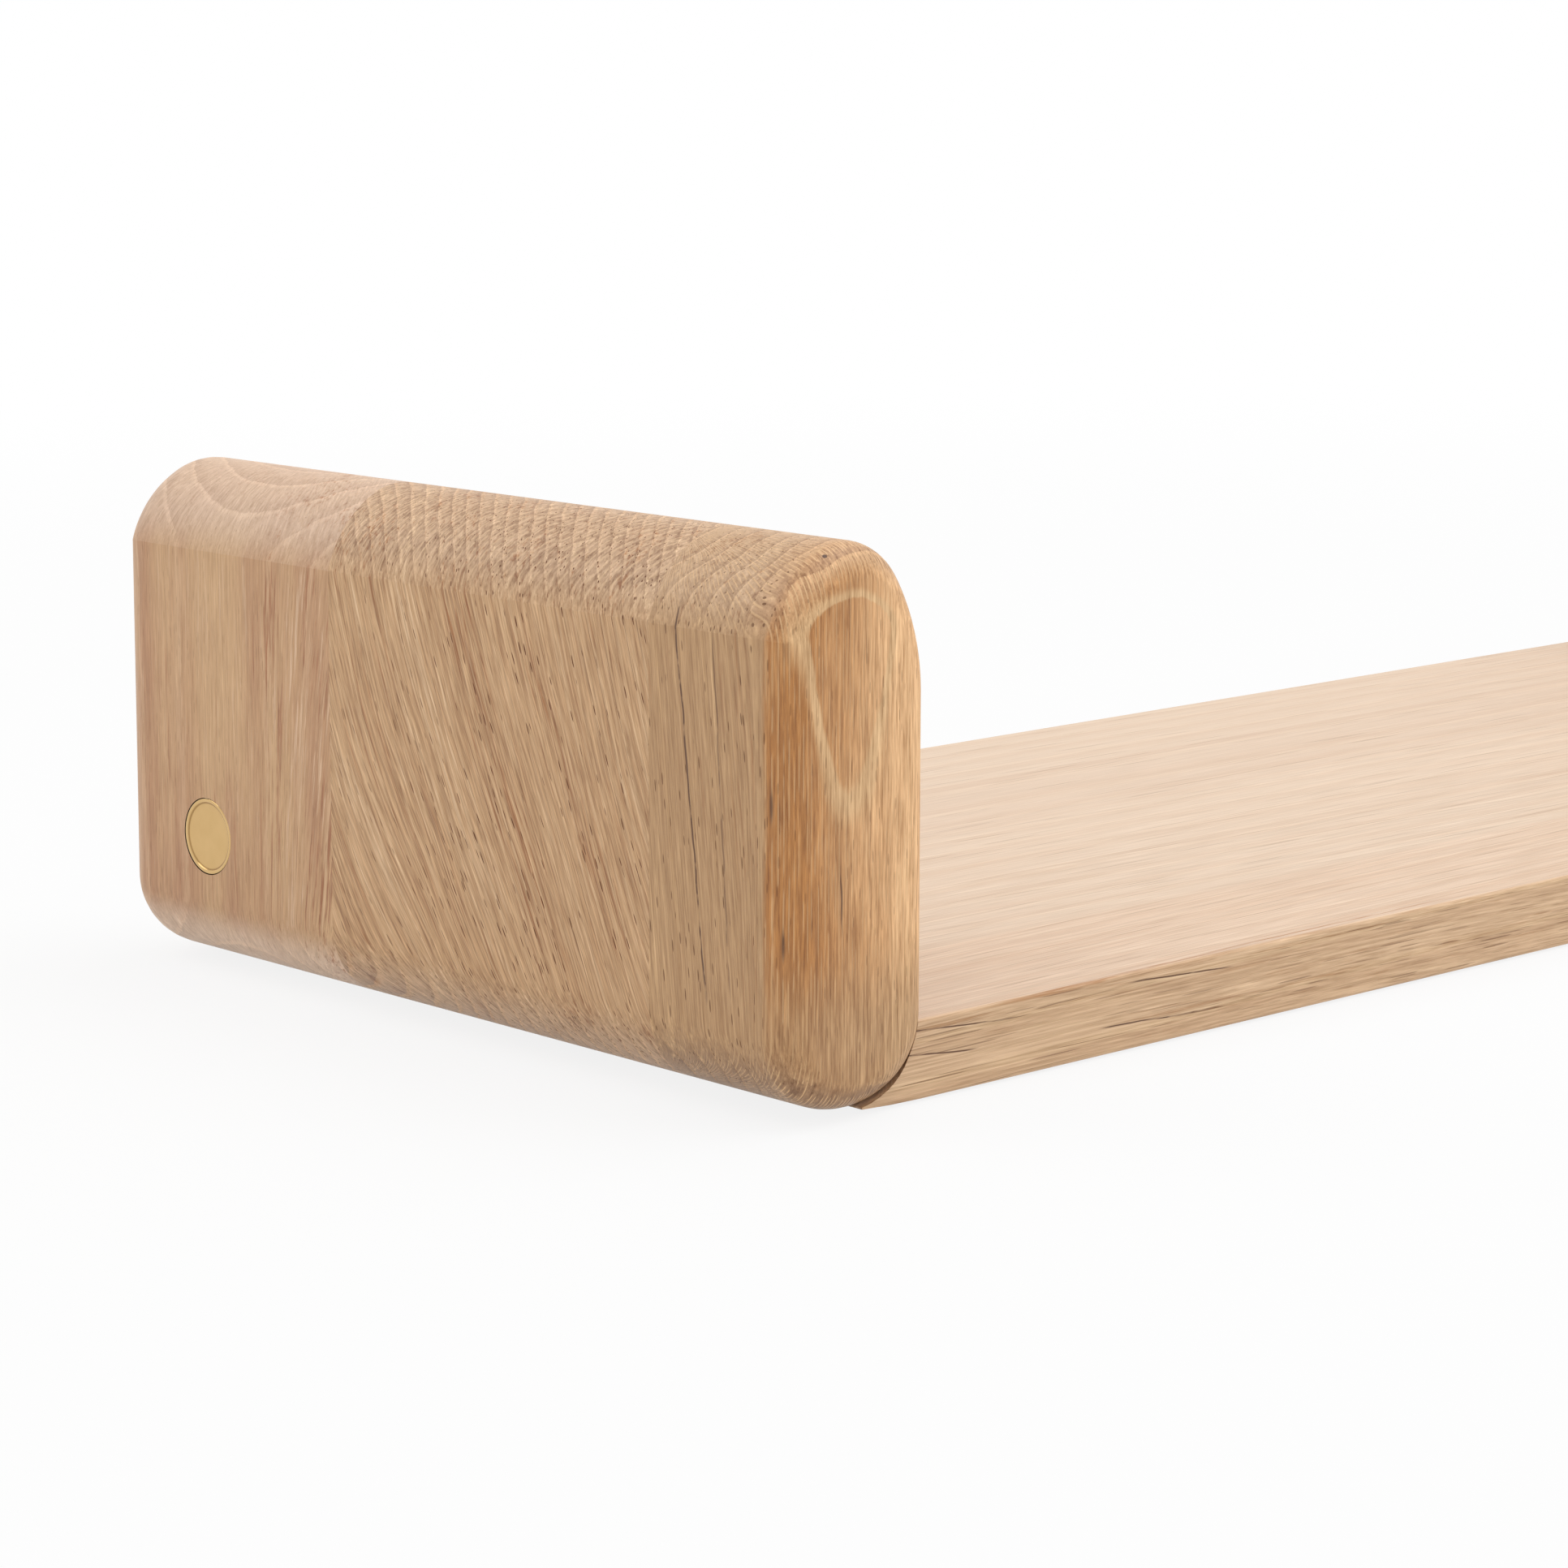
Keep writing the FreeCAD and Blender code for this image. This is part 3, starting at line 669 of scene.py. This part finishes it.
def meet_arris(work):
    """Brings the board's front corners up to the panels' rounded front arris, but for a gap at the foot."""
    for cut in (-0.1075, -0.107, -0.1065, -0.106, -0.105, -0.104):
        bmesh.ops.bisect_plane(work, geom=work.verts[:] + work.edges[:] + work.faces[:], plane_co=(0, cut, 0),
                               plane_no=(0, 1, 0))
    radius = stave_spans["front"][2]
    for vertex in work.verts:
        depth = min(radius, vertex.co.y - panel_front)
        inset = radius - (radius ** 2 - (radius - depth) ** 2) ** 0.5
        closed = min(1.0, max(0.0, (vertex.co.z - 0.001) / 0.009))
        if abs(vertex.co.x) > 0.25:
            vertex.co.x += inset * closed * (1 if vertex.co.x > 0 else -1)


def board_place(pith_y, pith_z, lean):
    """Grain along X round a pith below the board, drawn out long, which drifts sideways along the board."""
    def place(t, x, y, z):
        across = t.math("SUBTRACT", t.math("ADD", y, t.math("MULTIPLY", x, lean)), pith_y)
        drawn_out = t.math("MULTIPLY", x, 0.4)
        return t.xyz(across, t.math("SUBTRACT", z, pith_z), drawn_out)
    return place


def front_edge(top, edge):
    """What differs between the board's top and its front edge."""
    def look(t, x, y, z):
        share = t.rise(y, -106.6, -108.0)
        if isinstance(top, tuple):
            return t.blend(share, top, edge)
        return t.math("ADD", top, t.math("MULTIPLY", share, edge - top))
    return look


def board_marks(t, x, y, z):
    """A brown-orange streak along the board's front arris, and four dark vessel lines on its front edge."""
    wave = t.math("SUBTRACT", t.noise(t.xyz(x, 0.0, 0.0), (24.0, 1.0, 1.0), detail=3.0), 0.5)
    drift = t.rise(x, -235.0, -130.0, -107.9, -105.2)
    off = t.math("ADD", t.math("SUBTRACT", y, drift), t.math("MULTIPLY", wave, 1.6))
    low = t.rise(z, 15.0, 15.8)
    broken = t.rise(t.noise(t.xyz(x, y, z), (14.0, 0.7, 0.7), detail=3.0), 0.36, 0.56)
    near = t.rise(t.math("ABSOLUTE", off), 0.2, 0.8, 1.0, 0.0)
    span = t.math("MULTIPLY", t.rise(x, -252.0, -225.0), t.rise(x, -60.0, -130.0))
    marks = t.math("MULTIPLY", t.math("MULTIPLY", near, t.math("MULTIPLY", low, span)),
                   t.math("MULTIPLY", broken, 0.8))
    in_front = t.math("MULTIPLY", t.rise(y, -107.4, -107.9), t.rise(broken, 0.0, 0.5, 0.45, 1.0))
    for start, end, high, foot in ((-266.0, -232.0, 14.2, 12.4), (-268.0, -243.0, 9.6, 7.8),
                                   (-201.0, -166.0, 14.2, 12.8), (-210.0, -176.0, 6.0, 4.8)):
        height = t.math("ADD", t.rise(x, start, end, high, foot), t.math("MULTIPLY", wave, 0.9))
        thin = t.rise(t.math("ABSOLUTE", t.math("SUBTRACT", z, height)), 0.06, 0.24, 1.0, 0.0)
        length = t.math("MULTIPLY", t.rise(x, start, start + 5.0), t.rise(x, end, end - 5.0))
        marks = t.math("MAXIMUM", marks, t.math("MULTIPLY", t.math("MULTIPLY", thin, length), in_front))
    return marks


def board_mark_colour(t, x, y, z):
    """The streak on the arris is brown-orange, the vessel lines below it dark brown."""
    return t.blend(t.rise(z, 14.6, 15.1), paint(98, 62, 36), paint(168, 112, 60))


# The first stave's top and front edge differ in colour partly by their grain and partly by painted light: the top is
# painted paler and bluer, as lit from above, and the edge warmer and darker, as painted shade.
board_looks = ((-150.0, -40.0, -0.02, front_edge(paint(212, 182, 154), paint(218, 182, 144))),
               (20.0, -80.0, 0.02, paint(214, 188, 162)), (-60.0, -90.0, 0.01, paint(216, 190, 164)),
               (80.0, -70.0, -0.01, paint(213, 186, 160)), (10.0, -95.0, 0.015, paint(216, 190, 164)))
for number, (pith_y, pith_z, lean, base) in enumerate(board_looks, start=1):
    node = f"board_stave_{number}"
    piece = merged_copy(node, f"{node}_wood", shape=meet_arris if number == 1 else None)
    wood = oak_material(f"oak_{node}", board_place(pith_y, pith_z, lean), {
        # Pale and Dark differ the same way between top and front edge: partly grain, and partly painted light on the
        # top and painted shade on the edge.
        "Seed": 2.3 * number, "Base": base, "Pale": front_edge(paint(226, 202, 178), paint(226, 192, 150)),
        "Dark": front_edge(paint(196, 154, 116), paint(168, 120, 76)), "Ring width": 6.0, "Ring start": 4.0,
        "Distance": 90.0, "Wander": 5.0, "Ripple": 0.4, "Rings": 0.4, "Vessels": front_edge(0.4, 0.55),
        "Vessel": front_edge(paint(128, 90, 64), paint(112, 74, 48)), "Lines": front_edge(0.3, 1.0),
        "Rays": 0.15, "Vessel length": 24.0, "Streaks": front_edge(0.52 - 0.06 * number, 1.1),
        "Hairs": front_edge(1.1 - 0.12 * number, 1.6),
    }, grain_axis=0, marks=board_marks if number == 1 else None, mark_colour=board_mark_colour)
    piece.data.materials.clear()
    piece.data.materials.append(wood)
    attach(piece, "root")
    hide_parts(node)


# ---- Dowels ----
# Fluted beech dowels, turned and pressed, are glued through each joint. Beech is even
# and pinkish, with short brown ray flecks all along it.

def dress(node, material):
    """Gives a CAD node a material of its own, and leaves its shape as it is."""
    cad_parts[node].data.materials.clear()
    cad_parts[node].data.materials.append(material)


beech, t, shader, point = open_material("beech")
fleck = t.rise(t.noise(point, (2.2, 0.35, 0.35), detail=1.0), 0.6, 0.68)
tone = t.noise(point, (30.0, 1.2, 1.2), detail=3.0)
colour = t.blend(tone, paint(196, 150, 112), paint(226, 188, 150))
colour = t.blend(t.math("MULTIPLY", fleck, 0.6), colour, paint(158, 104, 70))
rough = t.math("ADD", 0.5, t.math("MULTIPLY", fleck, 0.15))
close_material(t, shader, colour, rough, t.math("SUBTRACT", tone, fleck), bump=0.3, relief=0.0002)
for side in ("left", "right"):
    dress(f"{side}_dowels", beech)


# ---- Brass disc ----
# A bare turned brass disc is let into the left panel's outer face: a satin, finely
# turned floor inside a narrow polished rim that lies flush with the oak.

disc_centre = Vector((-0.300, disc_y, disc_z))
disc_profile = [(0.0, 0.0004), (0.0030, 0.0004), (0.0058, 0.0004), (0.00725, 0.0004), (0.00745, 0.00036),
                (0.00758, 0.00024), (0.00768, 0.0001), (0.00785, 0.00003), (0.0081, 0.0), (0.00832, 0.00003),
                (0.00844, 0.00012), (0.0085, 0.0003), (0.0085, 0.0016), (0.0, 0.0016)]
disc_turns = 128


def disc_point(radius, depth, turn):
    """A point of the disc's profile, turned round its axis."""
    angle = 2 * pi * turn / disc_turns
    return disc_centre + Vector((depth, radius * cos(angle), radius * sin(angle)))


work = bmesh.new()
rings = []
for radius, depth in disc_profile:
    turns = range(disc_turns) if radius else (0,)
    rings.append([work.verts.new(disc_point(radius, depth, turn)) for turn in turns])
for inner, outer in zip(rings, rings[1:]):
    for turn in range(disc_turns):
        after = (turn + 1) % disc_turns
        corners = [inner[turn % len(inner)], outer[turn % len(outer)], outer[after % len(outer)],
                   inner[after % len(inner)]]
        work.faces.new(list(dict.fromkeys(corners)))
bmesh.ops.recalc_face_normals(work, faces=work.faces)
disc_mesh = bpy.data.meshes.new("disc")
work.to_mesh(disc_mesh)
work.free()
sharpen(disc_mesh, radians(40))
disc = bpy.data.objects.new("disc", disc_mesh)
bpy.context.scene.collection.objects.link(disc)

brass, t, shader, point = open_material("brass", metallic=1.0)
_, along, up = t.split(t.vector("SUBTRACT", point, tuple(disc_centre * 1000)))
from_centre = t.vector("LENGTH", t.xyz(along, up), out=1)
groove = t.noise(t.xyz(from_centre), (0.09, 1.0, 1.0), detail=2.0)
tarnish = t.noise(t.xyz(along, up), (5.0, 5.0, 1.0), detail=3.0)
floor_share = t.rise(from_centre, 7.5, 7.3)
# A darker ring on the slope where the turned floor rises into the rim.
groove_ring = t.math("MULTIPLY", t.rise(from_centre, 7.15, 7.4), t.rise(from_centre, 7.75, 7.5))
colour = t.blend(tarnish, paint(204, 168, 112), paint(222, 188, 134))
colour = t.blend(t.math("MULTIPLY", groove_ring, 0.7), colour, paint(140, 104, 60))
rough = t.math("ADD", 0.16, t.math("MULTIPLY", floor_share, t.math("ADD", 0.2, t.math("MULTIPLY", tarnish, 0.12))))
close_material(t, shader, colour, rough, t.math("MULTIPLY", groove, floor_share), bump=0.25, relief=0.00003)
disc_mesh.materials.append(brass)
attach(disc, "root")
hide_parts("brass_disc")


# ---- Hangers ----
# Zinc-plated steel keyhole plates are let into the panels' rear faces, each held by
# two countersunk screws with a cross recess, driven from the wall side.

zinc, t, shader, point = open_material("zinc", metallic=1.0)
bloom = t.noise(point, (3.0, 3.0, 3.0), detail=4.0)
drawn = t.noise(point, (0.15, 0.15, 9.0), detail=2.0)
colour = t.blend(bloom, paint(176, 180, 186), paint(214, 214, 210))
rough = t.math("ADD", 0.24, t.math("MULTIPLY", bloom, 0.28))
close_material(t, shader, colour, rough, drawn, bump=0.2, relief=0.00004)
dress("hanger_plates", zinc)


def screw_tree():
    """Sets one countersunk screw with a cross recess, its tip forward, at every point of the base."""
    number = "NodeSocketFloat"
    t, given = open_group("GeometryNodeTree", "screws", {
        "Places": ("NodeSocketGeometry", None), "Head": (number, 0.0033), "Shank": (number, 0.0016),
        "Core": (number, 0.0012), "Length": (number, 0.0179), "Pitch": (number, 0.0014),
        "Recess width": (number, 0.0009), "Recess reach": (number, 0.0036), "Recess depth": (number, 0.0016),
        "Metal": ("NodeSocketMaterial", None)}, {"Screws": "NodeSocketGeometry"})
    taper = t.math("SUBTRACT", given["Head"], given["Shank"])
    tip_length = 0.0026

    def lathe(height, top, bottom):
        return t.add("GeometryNodeMeshCone", {"Vertices": 40, "Side Segments": 1, "Radius Top": top,
                                              "Radius Bottom": bottom, "Depth": height})

    def moved(mesh, z):
        return t.add("GeometryNodeTransform", {0: mesh, "Translation": t.xyz(0.0, 0.0, z)})

    head = moved(lathe(taper, given["Head"], given["Shank"]), t.math("MULTIPLY", taper, -1.0))
    shank_length = t.math("SUBTRACT", given["Length"], t.math("ADD", taper, tip_length))
    shank = moved(lathe(shank_length, given["Core"], given["Core"]),
                  t.math("SUBTRACT", t.math("MULTIPLY", taper, -0.98), shank_length))
    tip = moved(lathe(tip_length, given["Core"], 0.0001), t.math("MULTIPLY", given["Length"], -1.0))
    turns = t.math("DIVIDE", shank_length, given["Pitch"])
    thread = t.add("GeometryNodeCurveSpiral", {"Resolution": 20, "Rotations": turns, "Start Radius": given["Core"],
                                               "End Radius": given["Core"], "Height": shank_length})
    thread = t.add("GeometryNodeTransform", {0: thread, "Translation": t.xyz(0.0, 0.0, t.math(
        "SUBTRACT", t.math("MULTIPLY", taper, -1.0), shank_length))})
    ridge = t.add("GeometryNodeCurvePrimitiveCircle", {"Resolution": 4, "Radius": t.math(
        "SUBTRACT", given["Shank"], given["Core"])})
    thread = t.add("GeometryNodeCurveToMesh", {0: thread, 1: ridge, "Fill Caps": True})
    slot_one = t.add("GeometryNodeMeshCube", {"Size": t.xyz(given["Recess width"], given["Recess reach"],
                                                            t.math("MULTIPLY", given["Recess depth"], 2.0))})
    slot_two = t.add("GeometryNodeMeshCube", {"Size": t.xyz(given["Recess reach"], given["Recess width"],
                                                            t.math("MULTIPLY", given["Recess depth"], 2.0))})
    carved = t.add("GeometryNodeMeshBoolean", {0: head}, operation="DIFFERENCE").node
    t.tree.links.new(slot_one, carved.inputs[1])
    t.tree.links.new(slot_two, carved.inputs[1])
    whole = t.add("GeometryNodeJoinGeometry").node
    for part in (carved.outputs[0], shank, tip, thread):
        t.tree.links.new(part, whole.inputs[0])
    places = t.add("GeometryNodeMeshToPoints", {0: given["Places"]})
    set_in = t.add("GeometryNodeInstanceOnPoints", {0: places, 2: whole.outputs[0],
                                                    "Rotation": (-pi / 2, 0.0, 0.0)})
    turned = t.add("GeometryNodeRotateInstances", {0: set_in, "Rotation": t.xyz(0.0, 0.0, t.add(
        "FunctionNodeRandomValue", {2: 0.0, 3: pi, "Seed": 7}, out=1))})
    solid = t.add("GeometryNodeRealizeInstances", {0: turned})
    corner = t.math("GREATER_THAN", t.add("GeometryNodeInputMeshEdgeAngle"), radians(35))
    solid = t.add("GeometryNodeSetShadeSmooth", {0: solid, 2: True})
    solid = t.add("GeometryNodeSetShadeSmooth", {0: solid, 1: corner, 2: False}, domain="EDGE")
    return close_group(t, {"Screws": t.add("GeometryNodeSetMaterial", {0: solid, 2: given["Metal"]})})


plate_middle, screw_reach, screw_sink = 0.0592, 0.020, 0.0001
screw_places = bpy.data.meshes.new("screw_places")
screw_places.from_pydata([(sign * panel_centre, panel_rear - screw_sink, plate_middle + end * screw_reach)
                          for sign in (-1, 1) for end in (-1, 1)], [], [])
screws = made_by(screw_tree(), "screws", screw_places, {"Metal": zinc})
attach(screws, "root")
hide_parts("hanger_screws")


# ---- Floor, light and camera ----
# A plain white floor that runs into a white studio, lit by the white room, by a large
# soft light above the front right and by a weaker one behind the left panel.

floor_mesh = bpy.data.meshes.new("floor")
reach, level = 9.0, -0.0005
floor_mesh.from_pydata([(-reach, -reach, level), (reach, -reach, level), (reach, reach, level),
                        (-reach, reach, level)], [], [(0, 1, 2, 3)])
floor = bpy.data.objects.new("floor", floor_mesh)
bpy.context.scene.collection.objects.link(floor)
white = bpy.data.materials.new("floor_white")
white.use_nodes = True
white.node_tree.nodes.clear()
t = Tree(white.node_tree)


def seen_share(t):
    """1 for what the camera sees, directly or in gloss and glass, and 0 for light that falls on things."""
    path = t.add("ShaderNodeLightPath").node
    return t.math("MAXIMUM", path.outputs["Is Camera Ray"],
                  t.math("MAXIMUM", path.outputs["Is Glossy Ray"], path.outputs["Is Transmission Ray"]))


matt = t.add("ShaderNodeBsdfDiffuse", {"Color": (0.76, 0.76, 0.76, 1)})
glow = t.add("ShaderNodeEmission", {"Color": (1, 1, 1, 1), "Strength": 1.0})
distance = t.vector("LENGTH", t.add("ShaderNodeTexCoord", out=3), out=1)
share = t.math("MULTIPLY", seen_share(t), t.rise(distance, 0.4, 1.3, 0.85, 1.0))
surface = t.add("ShaderNodeMixShader", {0: share, 1: matt, 2: glow})
t.tree.links.new(surface, t.tree.nodes.new("ShaderNodeOutputMaterial").inputs[0])
floor_mesh.materials.append(white)
floor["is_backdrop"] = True

world = bpy.data.worlds.new("studio")
bpy.context.scene.world = world
world.use_nodes = True
world.node_tree.nodes.clear()
t = Tree(world.node_tree)
strength = t.math("ADD", 0.76, t.math("MULTIPLY", seen_share(t), 0.24))
t.tree.links.new(t.add("ShaderNodeBackground", {"Color": (1, 1, 1, 1), "Strength": strength}),
                 t.tree.nodes.new("ShaderNodeOutputWorld").inputs[0])


def soft_light(name, place, target, size, power):
    """A rectangular lamp that looks at a target."""
    data = bpy.data.lights.new(name, "AREA")
    data.shape = "RECTANGLE"
    data.size, data.size_y = size
    data.energy = power
    lamp = bpy.data.objects.new(name, data)
    lamp.location = place
    lamp.rotation_euler = (Vector(target) - Vector(place)).to_track_quat("-Z", "Y").to_euler()
    bpy.context.scene.collection.objects.link(lamp)


soft_light("overhead", (0.5, -0.4, 2.0), (0, 0, 0), (1.6, 1.6), 20.0)
soft_light("side", (-1.0, 0.8, 1.3), (-0.28, 0, 0.05), (0.9, 0.9), 4.2)

yaw, pitch, roll = 0.730462, 0.155411, -0.0018905
focal_pixels, centre_x, centre_y, image_size = 5416.5, 826.63, 823.67, 1932
ahead = Vector((sin(yaw) * cos(pitch), cos(yaw) * cos(pitch), -sin(pitch)))
sideways = Vector((cos(yaw), -sin(yaw), 0))
upwards = sideways.cross(ahead)
right = sideways * cos(roll) + upwards * sin(roll)
upwards = upwards * cos(roll) - sideways * sin(roll)
camera_place = (-0.86033, -0.70413, 0.21858)
camera_data = bpy.data.cameras.new("camera")
camera_data.sensor_width = 36.0
camera_data.lens = 36.0 * focal_pixels / image_size
camera_data.shift_x = (image_size / 2 - centre_x) / image_size
camera_data.shift_y = (centre_y - image_size / 2) / image_size
camera_data.clip_start, camera_data.clip_end = 0.05, 50.0
camera = bpy.data.objects.new("camera", camera_data)
camera.matrix_world = Matrix.Translation(camera_place) @ Matrix((right, upwards, -ahead)).transposed().to_4x4()
bpy.context.scene.collection.objects.link(camera)
bpy.context.scene.camera = camera
bpy.context.scene.view_settings.view_transform = "Standard"

new_low, new_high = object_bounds()
[list(corner) for corner in (cad_low, cad_high, new_low, new_high)]
